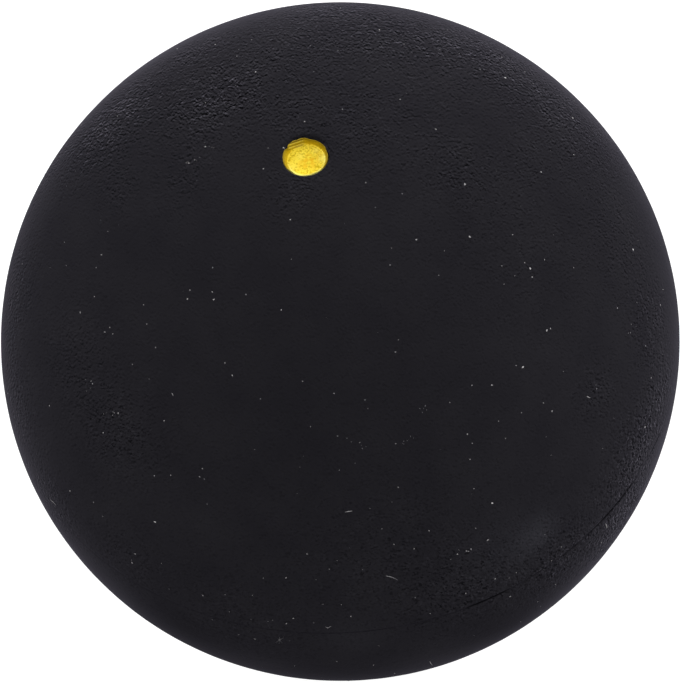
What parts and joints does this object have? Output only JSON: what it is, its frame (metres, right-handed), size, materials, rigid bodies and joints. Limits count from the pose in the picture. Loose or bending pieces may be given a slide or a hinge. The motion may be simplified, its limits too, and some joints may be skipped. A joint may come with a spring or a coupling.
{
  "type": "squash ball",
  "caption": "Hollow black rubber squash ball made of half-shells cemented along a flat seam, with a small yellow paint dot in a shallow round recess.",
  "frame": {"origin": "the ball's centre, in the plane of the seam", "axes": "+Z along the seam's axis, to the pole of the half-shell that carries the dot; the seam lies in the XY plane; -Y is the side that the picture looks from"},
  "size_m": [0.04, 0.04, 0.04],
  "materials": {
    "black_rubber": "matt, buffed",
    "seam_cement": "matt, cured rubber solution",
    "yellow_paint": "semi-gloss flexible paint"
  },
  "bodies": {
    "root": {"dot_half_shell": "black_rubber", "plain_half_shell": "black_rubber", "seam_cement": "seam_cement", "yellow_dot": "yellow_paint"}
  },
  "joints": []
}
